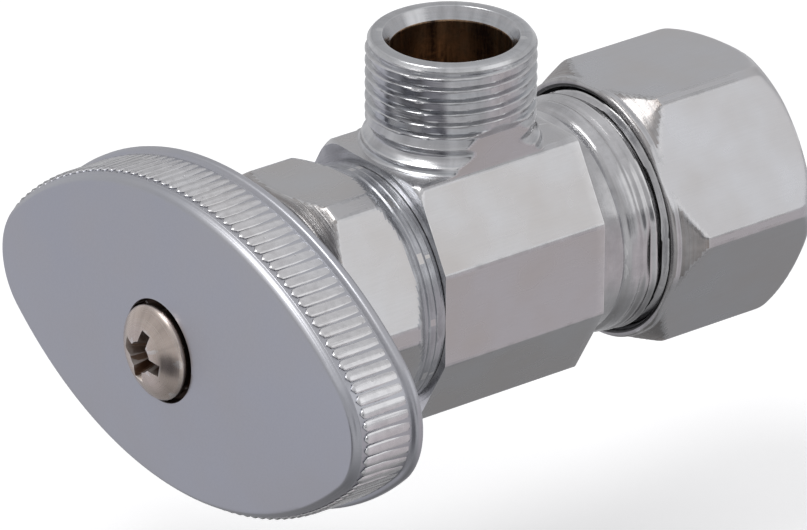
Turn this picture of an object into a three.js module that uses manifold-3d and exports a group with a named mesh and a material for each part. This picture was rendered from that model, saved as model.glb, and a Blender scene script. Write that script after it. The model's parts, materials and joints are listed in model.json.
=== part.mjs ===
// Angle stop valve: a multi-turn shut-off valve with a compression inlet and a compression outlet.
// Millimetres, +Z up. The supply pipe comes in along +X and the outlet tube leaves along +Z.
// Lengths along the inlet axis are measured from the point where the two port axes cross. The
// origin of the finished part is on that axis at the shoulder that the supply pipe butts against.

import * as THREE from 'three';
import { mergeVertices } from 'three/addons/utils/BufferGeometryUtils.js';
import Module from 'manifold-3d';

const wasm = await Module();
wasm.setup();

// ---- clearances ----
const restGap = 0.3;            // between faces that rest on each other
const threadGap = 0.12;         // radial, between a male thread and its female thread
const slideGap = 0.15;          // radial, round a shank that turns or slides
const packedGap = 0.3;          // radial, round soft or loose rings
const cutPast = 1;              // how far a cutting shape runs past the face it opens
const edgeChamfer = 0.5;        // on the ends of turned threads

// ---- body bar ----
const bodyAcrossFlats = 21.4;
const bodyHalfWidth = 10.0;     // the two side corners of the hexagon are milled off here
const bodyCornerBevel = 0.45;
const bodyFrontX = -8.2;
const bodyBackX = 8.5;

// ---- outlet ----
const outletThreadRadius = 7.14;     // 9/16-24
const outletRimZ = 20.2;
const outletThreadEndZ = 13.0;
const outletMouthRadius = 5.7;
const outletSocketRadius = 5.05;     // takes a 3/8 in tube
const outletSocketFloorZ = 12.4;
const outletMouthConeDepth = 1.1;
const outletReliefRadius = 6.75;     // groove under the last thread
const outletReliefDepth = 0.4;
const outletCollarRadius = 7.35;
const outletCollarLift = 0.45;       // above the top of the bar
const outletFilletRadius = 7.9;
const outletWaterwayRadius = 3.2;
const bossFlatY = 6.15;              // planar sides at the foot of the outlet
const bossFlatLeanZ = 13.6;          // they lean out to this point, then out of the thread
const bossFlatLeanY = 6.5;
const bossFlatTopZ = 14.8;

// ---- inlet ----
const inletThreadRadius = 10.32;     // 13/16-18
const inletThreadStartX = 11.1;
const inletEndX = 22.0;
const inletEndChamfer = 0.7;
const inletNeckRadius = 9.4;
const inletFilletRadius = 9.95;
const inletFilletLength = 1.4;
const pipeSocketRadius = 8.1;        // takes a 5/8 in pipe
const pipeStopX = 12.2;
const pipeMouthRadius = 9.1;
const inletPassageRadius = 5.8;
const inletPassageEndX = 6.4;

// ---- seat and stem bore ----
const seatX = 3.4;
const seatRadius = 2.9;
const seatRingRadius = 3.9;
const seatRingHeight = 0.8;
const chamberRadius = 5.45;
const chamberFrontX = -4.2;
const stemThreadRadius = 5.0;

// ---- packing nut and what it holds ----
const neckThreadRadius = 8.2;
const neckEndX = -14.0;
const neckEndChamfer = 0.6;
const packingNutAcrossFlats = 21.0;
const packingNutCornerBevel = 1.5;
const packingNutRollDeg = -3.4;
const packingNutFrontX = -19.2;
const packingNutFrontRadius = 8.6;
const packingNutFlatsFrontX = -16.1;
const packingNutFlatsBackX = -12.3;
const packingNutCollarRadius = 10.3;
const packingNutCollarX = -10.5;
const packingNutWall = 1.5;
const packingChamberRadius = 7.0;
const packingWasherThickness = 0.6;
const packingThickness = 1.5;
const frictionRingThickness = 0.5;

// ---- stem ----
const stemRadius = 3.95;
const stemSquare = 5.6;
const stemSquareEndX = -26.6;
const stemSquareStartX = -20.1;
const stemThreadFrontX = -9.2;
const stemThreadBackX = -2.4;
const stemFootRadius = 4.9;
const stemCupEndX = 1.2;
const stemCupFloorX = -0.2;
const stemScrewHoleEndX = -21.5;
const seatWasherRadius = 4.2;

// ---- seat washer screw ----
const washerScrewRadius = 1.35;
const washerScrewHeadRadius = 2.3;
const washerScrewHeadHeight = 1.0;
const washerScrewHeadChamfer = 0.3;
const washerScrewEndX = -4.0;
const washerScrewSlotWidth = 0.7;
const washerScrewSlotDepth = 0.5;

// ---- handle ----
const handleHalfLength = 24.9;
const handleHalfHeight = 13.8;
const handleEndRadius = 6.7;
const handleRollDeg = -1.2;
const handleCrownX = -30.3;
const handleRimX = -28.1;
const handleBevel = 0.6;
const handleCrownHeight = 1.7;
const handleLipX = -23.4;
const handleRearX = -22.2;
const handleLipFlare = 0.4;
const handleRearRound = 0.3;
const handleWall = 1.9;
const handleRoofX = -26.5;
const handleRoofDome = 1.4;
const handleHubRadius = 5.4;
const handleHubEndX = -20.6;
const handleSocketWall = 2.3;
const handleRibThickness = 1.6;
const handleRibRearX = -24.0;

// ---- handle screw ----
const screwHeadRadius = 4.05;
const screwHeadHeight = 2.75;
const screwHeadEdge = 1.25;
const screwRecessRadius = 4.4;
const screwRecessDepth = 1.15;
const screwShankRadius = 1.9;
const screwEndX = -22.6;
const screwCrossLength = 4.4;
const screwCrossWidth = 0.95;
const screwCrossDepth = 1.25;

// ---- compression nut and ferrule ----
const nutAcrossFlats = 22.2;
const nutCornerBevel = 0.8;
const nutRollDeg = -3.1;
const nutFrontX = 14.9;
const nutLipRadius = 10.75;
const nutLipLength = 0.75;
const nutLipFlare = 0.2;
const nutConeBackX = 17.9;
const nutDomeFrontX = 26.4;
const nutEndX = 30.2;
const nutEndRadius = 9.4;
const nutDomeSteps = 5;
const nutPocketRadius = 9.3;
const nutPocketFrontX = 22.7;
const nutPocketBackX = 26.5;
const nutPipeHoleRadius = 8.2;
const ferruleBoreRadius = 8.0;
const ferruleRadius = 8.85;
const ferruleNoseRadius = 8.3;
const ferruleNoseLength = 1.0;
const ferruleLength = 5.8;

// ---- facets round each turned surface ----
const largeRound = 56;
const smallRound = 32;
const handleSideSteps = 14;     // along half of one long side
const handleEndSteps = 8;       // round half of one end

// ---- materials ----
function metal(name, color, roughness) {
  return new THREE.MeshStandardMaterial({ name, color, roughness, metalness: 1.0 });
}

function soft(name, color) {
  return new THREE.MeshStandardMaterial({ name, color, roughness: 0.8, metalness: 0.0 });
}

const chrome = () => metal('chrome', 0xb9babd, 0.22);
const satinChrome = () => metal('satin_chrome', 0xa4a5ad, 0.38);
const nickel = () => metal('nickel', 0xbfaaa0, 0.3);
const brass = () => metal('brass', 0xb08d4a, 0.35);
const rubber = () => soft('rubber', 0x1c1c1e);
const nylon = () => soft('nylon', 0xd9d4c4);

// ---- solids ----
function toSolid(geometry) {
  geometry.deleteAttribute('normal');
  geometry.deleteAttribute('uv');
  const merged = mergeVertices(geometry, 1e-4);
  const index = merged.index.array;
  const triangles = [];
  for (let i = 0; i < index.length; i += 3) {
    const [a, b, c] = [index[i], index[i + 1], index[i + 2]];
    if (a !== b && b !== c && c !== a) {
      triangles.push(a, b, c);
    }
  }
  return new wasm.Manifold(new wasm.Mesh({
    numProp: 3,
    vertProperties: new Float32Array(merged.attributes.position.array),
    triVerts: new Uint32Array(triangles),
  }));
}

function toGeometry(solid) {
  const mesh = solid.getMesh();
  const geometry = new THREE.BufferGeometry();
  geometry.setAttribute('position', new THREE.BufferAttribute(mesh.vertProperties, 3));
  geometry.setIndex(new THREE.BufferAttribute(mesh.triVerts, 1));
  geometry.computeVertexNormals();
  return geometry;
}

// A profile is a list of [radius, height] points; it starts and ends on the axis or closes on itself.
function lathe(profile, facets) {
  const points = profile.map(([radius, height]) => new THREE.Vector2(radius, height));
  return new THREE.LatheGeometry(points, facets);
}

function turnedX(profile, facets = largeRound) {
  return toSolid(lathe(profile, facets).rotateZ(-Math.PI / 2));
}

function turnedZ(profile) {
  return toSolid(lathe(profile, largeRound).rotateX(Math.PI / 2));
}

function rodX(radius, fromX, toX, facets = largeRound) {
  return turnedX([[0, fromX], [radius, fromX], [radius, toX], [0, toX]], facets);
}

function ringX(inner, outer, fromX, toX, facets = largeRound) {
  return turnedX([[inner, fromX], [outer, fromX], [outer, toX], [inner, toX], [inner, fromX]], facets);
}

// An outline of [y, z] points pushed along X.
function prismX(outline, fromX, toX) {
  const shape = new THREE.Shape(outline.map(([y, z]) => new THREE.Vector2(y, z)));
  const geometry = new THREE.ExtrudeGeometry(shape, { depth: toX - fromX, bevelEnabled: false });
  const yzx = new THREE.Matrix4().makeBasis(
    new THREE.Vector3(0, 1, 0), new THREE.Vector3(0, 0, 1), new THREE.Vector3(1, 0, 0));
  return toSolid(geometry.applyMatrix4(yzx).translate(fromX, 0, 0));
}

// A box centred on the X axis.
function block(fromX, toX, sizeY, sizeZ) {
  const box = new THREE.BoxGeometry(toX - fromX, sizeY, sizeZ);
  return toSolid(box.translate((fromX + toX) / 2, 0, 0));
}

// A hexagon with a flat on top, each corner cut by a narrow bevel.
function bevelledHexagon(acrossFlats, bevel) {
  const cornerRadius = acrossFlats / Math.sqrt(3);
  const setBack = bevel / Math.sqrt(3);
  const corner = (k) => new THREE.Vector2(
    cornerRadius * Math.cos(k * Math.PI / 3), cornerRadius * Math.sin(k * Math.PI / 3));
  const outline = [];
  for (let k = 0; k < 6; k += 1) {
    for (const neighbour of [k - 1, k + 1]) {
      const towards = corner(neighbour).sub(corner(k)).setLength(setBack);
      const point = corner(k).add(towards);
      outline.push([point.x, point.y]);
    }
  }
  return outline;
}

// The turned shape that a hexagon bar is cut to, from its list of [x, radius] points.
function envelopeX(stations) {
  const profile = stations.map(([x, radius]) => [radius, x]);
  return turnedX([[0, stations[0][0]], ...profile, [0, stations.at(-1)[0]]]);
}

// ---- valve body ----
function bodyBar() {
  const bar = prismX(bevelledHexagon(bodyAcrossFlats, bodyCornerBevel), bodyFrontX, bodyBackX);
  return bar.intersect(block(bodyFrontX, bodyBackX, 2 * bodyHalfWidth, bodyAcrossFlats));
}

function packingNeck() {
  return turnedX([
    [0, neckEndX],
    [neckThreadRadius - neckEndChamfer, neckEndX],
    [neckThreadRadius, neckEndX + neckEndChamfer],
    [neckThreadRadius, 0],
    [0, 0],
  ]);
}

function inletNeck() {
  return turnedX([
    [0, 0],
    [inletFilletRadius, 0],
    [inletFilletRadius, bodyBackX],
    [inletNeckRadius, bodyBackX + inletFilletLength],
    [inletNeckRadius, inletThreadStartX - edgeChamfer],
    [inletThreadRadius, inletThreadStartX],
    [inletThreadRadius, inletEndX - inletEndChamfer],
    [inletThreadRadius - inletEndChamfer, inletEndX],
    [0, inletEndX],
  ]);
}

// The two flat sides of the outlet's foot.
function bossSides() {
  const clearY = outletFilletRadius + cutPast;
  const right = [
    [bossFlatY, 0],
    [bossFlatY, bodyAcrossFlats / 2],
    [bossFlatLeanY, bossFlatLeanZ],
    [outletFilletRadius, bossFlatTopZ],
    [clearY, bossFlatTopZ],
    [clearY, outletRimZ + cutPast],
  ];
  const left = right.map(([y, z]) => [-y, z]).reverse();
  return prismX([...right, ...left], -clearY, clearY);
}

function outletBoss() {
  const top = bodyAcrossFlats / 2;
  const collarZ = top + outletCollarLift;
  const turned = turnedZ([
    [0, 0],
    [outletFilletRadius, 0],
    [outletFilletRadius, top],
    [outletCollarRadius, collarZ],
    [outletReliefRadius, collarZ + outletReliefDepth],
    [outletReliefRadius, outletThreadEndZ - outletReliefDepth],
    [outletThreadRadius, outletThreadEndZ],
    [outletThreadRadius, outletRimZ - edgeChamfer],
    [outletThreadRadius - edgeChamfer, outletRimZ],
    [0, outletRimZ],
  ]);
  return turned.intersect(bossSides());
}

function outletBore() {
  const slope = (outletMouthRadius - outletSocketRadius) / outletMouthConeDepth;
  return turnedZ([
    [0, 0],
    [outletWaterwayRadius, 0],
    [outletWaterwayRadius, outletSocketFloorZ],
    [outletSocketRadius, outletSocketFloorZ],
    [outletSocketRadius, outletRimZ - outletMouthConeDepth],
    [outletMouthRadius + slope * cutPast, outletRimZ + cutPast],
    [0, outletRimZ + cutPast],
  ]);
}

function stemBore() {
  const threadBore = stemThreadRadius + threadGap;
  return turnedX([
    [0, neckEndX - cutPast],
    [threadBore, neckEndX - cutPast],
    [threadBore, chamberFrontX],
    [chamberRadius, chamberFrontX],
    [chamberRadius, seatX + seatRingHeight],
    [seatRingRadius, seatX + seatRingHeight],
    [seatRingRadius, seatX],
    [0, seatX],
  ]);
}

function inletBore() {
  const mouthDepth = pipeMouthRadius - pipeSocketRadius;
  return turnedX([
    [0, 0],
    [seatRadius, 0],
    [seatRadius, inletPassageEndX],
    [inletPassageRadius, inletPassageEndX],
    [inletPassageRadius, pipeStopX],
    [pipeSocketRadius, pipeStopX],
    [pipeSocketRadius, inletEndX - mouthDepth],
    [pipeMouthRadius + cutPast, inletEndX + cutPast],
    [0, inletEndX + cutPast],
  ]);
}

function valveBody() {
  return bodyBar()
    .add(outletBoss())
    .add(packingNeck())
    .add(inletNeck())
    .subtract(outletBore())
    .subtract(stemBore())
    .subtract(inletBore());
}

// ---- packing nut, packing and its rings ----
const ringBore = stemRadius + slideGap;
const packingWasherX = neckEndX - restGap - packingWasherThickness;
const packingX = packingWasherX - restGap - packingThickness;
const frictionRingX = packingX - restGap - frictionRingThickness;

function packingNut() {
  const cornerRadius = packingNutAcrossFlats / Math.sqrt(3);
  const backX = bodyFrontX - restGap;
  const hexagon = bevelledHexagon(packingNutAcrossFlats, packingNutCornerBevel);
  const outside = prismX(hexagon, packingNutFrontX, backX).intersect(envelopeX([
    [packingNutFrontX, packingNutFrontRadius],
    [packingNutFlatsFrontX, cornerRadius],
    [packingNutFlatsBackX, cornerRadius],
    [packingNutCollarX, packingNutCollarRadius],
    [backX, packingNutCollarRadius],
  ]));
  const threadBore = rodX(neckThreadRadius + threadGap, neckEndX - 2 * restGap, backX + cutPast);
  const chamber = rodX(packingChamberRadius, packingNutFrontX + packingNutWall, 0);
  const stemHole = rodX(ringBore, packingNutFrontX - cutPast, 0);
  return outside.subtract(threadBore).subtract(chamber).subtract(stemHole);
}

function packingRing(fromX, thickness) {
  return ringX(ringBore, packingChamberRadius - packedGap, fromX, fromX + thickness, smallRound);
}

// ---- stem and seat washer ----
function stem() {
  const turned = turnedX([
    [0, stemSquareStartX],
    [stemRadius, stemSquareStartX],
    [stemRadius, stemThreadFrontX],
    [stemThreadRadius, stemThreadFrontX + edgeChamfer],
    [stemThreadRadius, stemThreadBackX],
    [stemFootRadius, stemThreadBackX],
    [stemFootRadius, stemCupEndX],
    [seatWasherRadius + packedGap, stemCupEndX],
    [seatWasherRadius + packedGap, stemCupFloorX],
    [0, stemCupFloorX],
  ]);
  const square = block(stemSquareEndX, stemSquareStartX + cutPast, stemSquare, stemSquare);
  const roundedSquare = square.intersect(rodX(stemRadius, stemSquareEndX, 0, smallRound));
  const frontHoleRadius = screwShankRadius + slideGap;
  const frontHole = rodX(frontHoleRadius, stemSquareEndX - cutPast, stemScrewHoleEndX, smallRound);
  const backHole = rodX(washerScrewRadius + slideGap, washerScrewEndX - restGap, 0, smallRound);
  return turned.add(roundedSquare).subtract(frontHole).subtract(backHole);
}

const seatWasherFrontX = stemCupFloorX + restGap;
const seatWasherBackX = seatX - restGap;

function seatWasher() {
  const bore = washerScrewRadius + packedGap;
  return ringX(bore, seatWasherRadius, seatWasherFrontX, seatWasherBackX, smallRound);
}

function seatWasherScrew() {
  const headX = seatWasherBackX + restGap;
  const topX = headX + washerScrewHeadHeight;
  const turned = turnedX([
    [0, washerScrewEndX],
    [washerScrewRadius, washerScrewEndX],
    [washerScrewRadius, headX],
    [washerScrewHeadRadius, headX],
    [washerScrewHeadRadius, topX - washerScrewHeadChamfer],
    [washerScrewHeadRadius - washerScrewHeadChamfer, topX],
    [0, topX],
  ], smallRound);
  const slotLength = 2 * washerScrewHeadRadius + cutPast;
  const slot = block(topX - washerScrewSlotDepth, topX + cutPast, slotLength, washerScrewSlotWidth);
  return turned.subtract(slot);
}

// ---- handle ----
// Four arcs: two long sides and two ends, each end centred on the long axis.
function oval(halfLength, halfHeight, endRadius) {
  const endCentre = halfLength - endRadius;
  const sideRadius = (endCentre ** 2 + halfHeight ** 2 - endRadius ** 2)
    / (2 * (halfHeight - endRadius));
  const sideCentre = sideRadius - halfHeight;
  const join = Math.atan2(endCentre, sideCentre);
  const quarter = [];
  for (let i = 0; i < handleSideSteps; i += 1) {
    const angle = join * i / handleSideSteps;
    quarter.push([sideRadius * Math.sin(angle), sideRadius * Math.cos(angle) - sideCentre]);
  }
  for (let i = 0; i < handleEndSteps; i += 1) {
    const angle = join + (Math.PI / 2 - join) * i / handleEndSteps;
    quarter.push([endCentre + endRadius * Math.sin(angle), endRadius * Math.cos(angle)]);
  }
  const tip = [halfLength, 0];
  const half = [...quarter, tip, ...quarter.slice(1).reverse().map(([y, z]) => [y, -z])];
  return [...half, ...half.map(([y, z]) => [-y, -z])];
}

function ovalInset(inset) {
  return oval(handleHalfLength - inset, handleHalfHeight - inset, handleEndRadius - inset);
}

function ovalScaled(inset, share) {
  return ovalInset(inset).map(([y, z]) => [y * share, z * share]);
}

// Rings of one outline at successive places along X, closed by a point at both ends.
function loft(rings, firstX, lastX) {
  const count = rings[0].outline.length;
  const positions = [firstX, 0, 0];
  for (const { outline, x } of rings) {
    for (const [y, z] of outline) {
      positions.push(x, y, z);
    }
  }
  positions.push(lastX, 0, 0);
  const last = positions.length / 3 - 1;
  const at = (ring, i) => 1 + ring * count + (i % count);
  const index = [];
  for (let i = 0; i < count; i += 1) {
    index.push(0, at(0, i), at(0, i + 1));
    for (let ring = 0; ring + 1 < rings.length; ring += 1) {
      index.push(at(ring, i), at(ring + 1, i), at(ring + 1, i + 1));
      index.push(at(ring, i), at(ring + 1, i + 1), at(ring, i + 1));
    }
    index.push(at(rings.length - 1, i), last, at(rings.length - 1, i + 1));
  }
  const geometry = new THREE.BufferGeometry();
  geometry.setAttribute('position', new THREE.Float32BufferAttribute(positions, 3));
  geometry.setIndex(index);
  return toSolid(geometry);
}

function handleShell() {
  const crown = [0.3, 0.6, 0.85, 1].map((share) => ({
    outline: ovalScaled(handleBevel, share),
    x: handleCrownX + handleCrownHeight * share ** 2,
  }));
  const domeShare = 0.5;
  const domeRingX = handleRoofX - handleRoofDome * (1 - domeShare ** 2);
  const rings = [
    ...crown,
    { outline: ovalInset(0), x: handleRimX },
    { outline: ovalInset(-handleLipFlare / 2), x: handleLipX },
    { outline: ovalInset(-handleLipFlare), x: handleLipX },
    { outline: ovalInset(-handleLipFlare), x: handleRearX - handleRearRound },
    { outline: ovalInset(-handleLipFlare / 2), x: handleRearX },
    { outline: ovalInset(handleWall), x: handleRearX },
    { outline: ovalInset(handleWall), x: handleRoofX },
    { outline: ovalScaled(handleWall, domeShare), x: domeRingX },
  ];
  return loft(rings, handleCrownX, handleRoofX - handleRoofDome);
}

function handle() {
  const recessFloorX = handleCrownX + screwRecessDepth;
  const socketEndX = recessFloorX + handleSocketWall;
  const hub = rodX(handleHubRadius, recessFloorX, handleHubEndX, smallRound);
  const ribSpan = 2 * handleHalfLength - handleWall;
  const rib = block(handleRoofX - cutPast, handleRibRearX, ribSpan, handleRibThickness);
  const squareHole = stemSquare + 2 * slideGap;
  const socket = block(socketEndX, handleHubEndX + cutPast, squareHole, squareHole);
  const recess = rodX(screwRecessRadius, handleCrownX - cutPast, recessFloorX, smallRound);
  const screwHole = rodX(screwShankRadius + packedGap, handleCrownX, socketEndX + cutPast, smallRound);
  return handleShell().add(hub).add(rib).subtract(socket).subtract(recess).subtract(screwHole);
}

// ---- handle screw ----
function handleScrew() {
  const seatFace = handleCrownX + screwRecessDepth - restGap;
  const crownX = seatFace - screwHeadHeight;
  const dome = [0.32, 0.58, 0.78, 0.92, 1].map((share) => [
    screwHeadRadius * share,
    crownX + (screwHeadHeight - screwHeadEdge) * share ** 2,
  ]);
  const turned = turnedX([
    [0, crownX],
    ...dome,
    [screwHeadRadius, seatFace],
    [screwShankRadius, seatFace],
    [screwShankRadius, screwEndX],
    [0, screwEndX],
  ], smallRound);
  const crossFloorX = crownX + screwCrossDepth;
  const cross = block(crownX - cutPast, crossFloorX, screwCrossLength, screwCrossWidth)
    .add(block(crownX - cutPast, crossFloorX, screwCrossWidth, screwCrossLength));
  return turned.subtract(cross);
}

// ---- compression nut and ferrule ----
function compressionNut() {
  const cornerRadius = nutAcrossFlats / Math.sqrt(3);
  const dome = [];
  for (let i = 0; i <= nutDomeSteps; i += 1) {
    const angle = Math.PI / 2 * i / nutDomeSteps;
    dome.push([
      nutDomeFrontX + (nutEndX - nutDomeFrontX) * Math.sin(angle),
      nutEndRadius + (cornerRadius - nutEndRadius) * Math.cos(angle),
    ]);
  }
  const outside = prismX(bevelledHexagon(nutAcrossFlats, nutCornerBevel), nutFrontX, nutEndX)
    .intersect(envelopeX([
      [nutFrontX, nutLipRadius],
      [nutFrontX + nutLipLength, nutLipRadius + nutLipFlare],
      [nutConeBackX, cornerRadius],
      ...dome,
    ]));
  const coneDepth = nutPocketRadius - nutPipeHoleRadius;
  const inside = turnedX([
    [0, nutFrontX - cutPast],
    [inletThreadRadius + threadGap, nutFrontX - cutPast],
    [inletThreadRadius + threadGap, nutPocketFrontX],
    [nutPocketRadius, nutPocketFrontX],
    [nutPocketRadius, nutPocketBackX],
    [nutPipeHoleRadius, nutPocketBackX + coneDepth],
    [nutPipeHoleRadius, nutEndX + cutPast],
    [0, nutEndX + cutPast],
  ]);
  return outside.subtract(inside);
}

function ferrule() {
  const mouthDepth = pipeMouthRadius - pipeSocketRadius;
  const noseX = inletEndX - mouthDepth + (ferruleNoseRadius - pipeSocketRadius) + restGap * Math.SQRT2;
  const tailX = noseX + ferruleLength;
  return turnedX([
    [ferruleBoreRadius, noseX],
    [ferruleNoseRadius, noseX],
    [ferruleRadius, noseX + ferruleNoseLength],
    [ferruleRadius, tailX - ferruleNoseLength],
    [ferruleNoseRadius, tailX],
    [ferruleBoreRadius, tailX],
    [ferruleBoreRadius, noseX],
  ]);
}

// ---- assembly ----
const valve = new THREE.Group();
const portCross = new THREE.Group();
portCross.position.x = -pipeStopX;
valve.add(portCross);

function place(name, solid, material, rollDeg = 0) {
  const mesh = new THREE.Mesh(toGeometry(solid), material);
  mesh.name = name;
  mesh.rotation.x = THREE.MathUtils.degToRad(rollDeg);
  portCross.add(mesh);
}

place('valve_body', valveBody(), chrome());
place('packing_nut', packingNut(), chrome(), packingNutRollDeg);
place('packing_washer', packingRing(packingWasherX, packingWasherThickness), brass());
place('stem_packing', packingRing(packingX, packingThickness), rubber());
place('friction_ring', packingRing(frictionRingX, frictionRingThickness), nylon());
place('stem', stem(), brass(), handleRollDeg);
place('seat_washer', seatWasher(), rubber());
place('seat_washer_screw', seatWasherScrew(), brass());
place('handle', handle(), satinChrome(), handleRollDeg);
place('handle_screw', handleScrew(), nickel(), handleRollDeg);
place('ferrule', ferrule(), brass());
place('compression_nut', compressionNut(), chrome(), nutRollDeg);

export default valve;
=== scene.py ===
"""Angle stop valve: the looks of its chrome body, nuts, oval handle and screw."""

import json
import math

import bmesh
import bpy
import numpy as np
from mathutils import Matrix, Vector


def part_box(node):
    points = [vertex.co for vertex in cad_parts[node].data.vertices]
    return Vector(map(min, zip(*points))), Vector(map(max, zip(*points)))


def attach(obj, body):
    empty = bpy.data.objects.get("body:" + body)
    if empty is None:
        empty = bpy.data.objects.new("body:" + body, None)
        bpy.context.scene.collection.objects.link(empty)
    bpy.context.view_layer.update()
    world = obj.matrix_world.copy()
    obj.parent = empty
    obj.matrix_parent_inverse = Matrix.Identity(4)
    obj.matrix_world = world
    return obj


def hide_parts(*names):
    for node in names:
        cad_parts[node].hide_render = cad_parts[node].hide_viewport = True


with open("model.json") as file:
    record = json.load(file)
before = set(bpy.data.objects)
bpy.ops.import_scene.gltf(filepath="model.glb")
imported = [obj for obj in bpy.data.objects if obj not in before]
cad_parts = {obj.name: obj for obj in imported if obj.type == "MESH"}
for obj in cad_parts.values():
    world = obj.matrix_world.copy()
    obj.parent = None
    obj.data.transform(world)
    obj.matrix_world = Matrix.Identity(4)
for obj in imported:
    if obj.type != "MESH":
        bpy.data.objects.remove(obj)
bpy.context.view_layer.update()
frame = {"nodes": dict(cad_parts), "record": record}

# Lengths below are millimetres, measured from the point where the inlet and outlet axes cross.
MM = 0.001
mounts = {mount["name"]: mount for mount in frame["record"]["mounts"]}
port_cross = Vector((mounts["outlet_rim"]["pos_m"][0], 0, 0))


def node_box(node):
    """A CAD node's lowest and highest corner, in millimetres from the port cross."""
    low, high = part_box(node)
    return (low - port_cross) / MM, (high - port_cross) / MM


body_low, _ = node_box("valve_body")
packing_low, packing_high = node_box("packing_nut")
nut_low, nut_high = node_box("compression_nut")
handle_low, _ = node_box("handle")
screw_low, screw_high = node_box("handle_screw")

# ---- sizes ----
BAR_ACROSS_FLATS = 21.4
BAR_FRONT_X = packing_high.x + 0.3
BAR_BACK_X = 8.5
BAR_HALF_WIDTH = -mounts["body_flat_front"]["pos_m"][1] / MM
OUTLET_RIM_Z = mounts["outlet_rim"]["pos_m"][2] / MM
OUTLET_THREAD_RADIUS = 7.14
OUTLET_PITCH = 25.4 / 24
INLET_THREAD_RADIUS = 10.32
INLET_PITCH = 25.4 / 18
PIPE_STOP_X = -port_cross.x / MM
PACKING_NUT_ACROSS_FLATS = 21.0
NUT_ACROSS_FLATS = 22.2
HANDLE_LENGTH = 24.9
HANDLE_HEIGHT = 13.8
HANDLE_END_RADIUS = 6.7
HANDLE_REAR_X = -22.2         # the rear of the rim; the hub behind it reaches further back
HANDLE_ROLL = math.radians(-1.2)
PACKING_NUT_ROLL = math.radians(-3.4)
CROSS_TURN = math.radians(14)  # the screw's cross against the handle
NUT_ROLL = math.radians(-3.1)
FAR = 1000.0                  # stands for "no limit" where radii are compared
CORNER_BLEND = 0.12           # rounding where a section's flats meet

# ---- radii that more than one shape uses ----
NECK_RADIUS = 8.2
STEM_BORE_RADIUS = 5.12
CHAMBER_RADIUS = 5.45
WATERWAY_RADIUS = 3.2
PIPE_SOCKET_RADIUS = 8.1
OUTLET_SOCKET_RADIUS = 5.05
NUT_THREAD_BORE = 10.44
PACKING_THREAD_BORE = 8.32
SCREW_SHANK_RADIUS = 1.9
SOCKET_HALF_WIDTH = 2.95      # of the handle's square hole

# ---- grip ribs round the handle's rim ----
GRIP_RIBS = 113
RIB_LENGTH, RIB_WIDTH, RIB_HEIGHT = 4.65, 0.96, 0.52
RIB_MIDDLE_X = -25.4
RIB_INSET = 0.27              # of the ribs' centre lines from the handle's outline


# ---- turned and drawn shapes ----
def smooth_min(a, b, blend):
    """The smaller of two radii, with the edge where they cross rounded off."""
    overlap = np.clip(1 - np.abs(a - b) / blend, 0, None)
    return np.minimum(a, b) - overlap ** 2 * blend / 4


def section_radius(angles, faces, blend):
    """Radius of a bar's section at each angle; a face is its direction in radians and its distance."""
    radius = np.full_like(angles, FAR)
    for facing, distance in faces:
        swing = np.cos(angles - facing)
        reach = np.where(swing > 0.05, distance / np.maximum(swing, 0.05), FAR)
        radius = smooth_min(radius, reach, blend)
    return radius


def hexagon_faces(across_flats, corner_bevel, skip=()):
    """Six flats with one on top, and a narrow bevel on each corner that isn't skipped."""
    faces = [(math.radians(30 + 60 * k), across_flats / 2) for k in range(6)]
    corner = across_flats / math.sqrt(3) - corner_bevel / (2 * math.sqrt(3))
    faces += [(math.radians(60 * k), corner) for k in range(6) if k not in skip]
    return faces


def angles_for(faces, regular):
    """Regular angles round an axis, with extra ones close to every corner of the section."""
    fine = np.linspace(0, 2 * math.pi, 14400, endpoint=False)
    reach = [np.where(np.cos(fine - f) > 0.05, d / np.maximum(np.cos(fine - f), 0.05), FAR) for f, d in faces]
    nearest = np.argmin(np.array(reach), axis=0)
    corners = fine[nearest != np.roll(nearest, 1)]
    offsets = np.radians([-1.2, -0.6, -0.25, 0, 0.25, 0.6, 1.2])
    near = (corners[:, None] + offsets[None, :]).ravel() % (2 * math.pi)
    even = np.linspace(0, 2 * math.pi, regular, endpoint=False)
    gap = np.min(np.abs((even[:, None] - corners[None, :] + math.pi) % (2 * math.pi) - math.pi), axis=1)
    angles = np.sort(np.concatenate([near, even[gap > math.radians(1.5)]]))
    return angles[np.diff(angles, append=angles[0] + 2 * math.pi) > math.radians(0.05)]


def rounded_path(points, radius=0.12, steps=3, closed=False):
    """A path of (along, out) points whose corners are rounded; a third value sets one corner's radius."""
    count = len(points)
    path = []
    for i, point in enumerate(points):
        here = np.array(point[:2], float)
        size = point[2] if len(point) > 2 else radius
        if not closed and i in (0, count - 1) or size == 0:
            path.append(here)
            continue
        before = np.array(points[i - 1][:2], float)
        after = np.array(points[(i + 1) % count][:2], float)
        back, on = before - here, after - here
        reach = min(size, 0.45 * np.linalg.norm(back), 0.45 * np.linalg.norm(on))
        start = here + back / np.linalg.norm(back) * reach
        end = here + on / np.linalg.norm(on) * reach
        for t in np.linspace(0, 1, steps + 1):
            path.append((1 - t) ** 2 * start + 2 * t * (1 - t) * here + t ** 2 * end)
    return path


def finely(path, step, closed=False):
    """Adds points so that no stretch of the path is longer than step."""
    result = []
    count = len(path)
    for i in range(count if closed else count - 1):
        a, b = path[i], path[(i + 1) % count]
        parts = max(1, math.ceil(np.linalg.norm(b - a) / step))
        result += [a + (b - a) * k / parts for k in range(parts)]
    return result if closed else result + [path[-1]]


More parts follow.
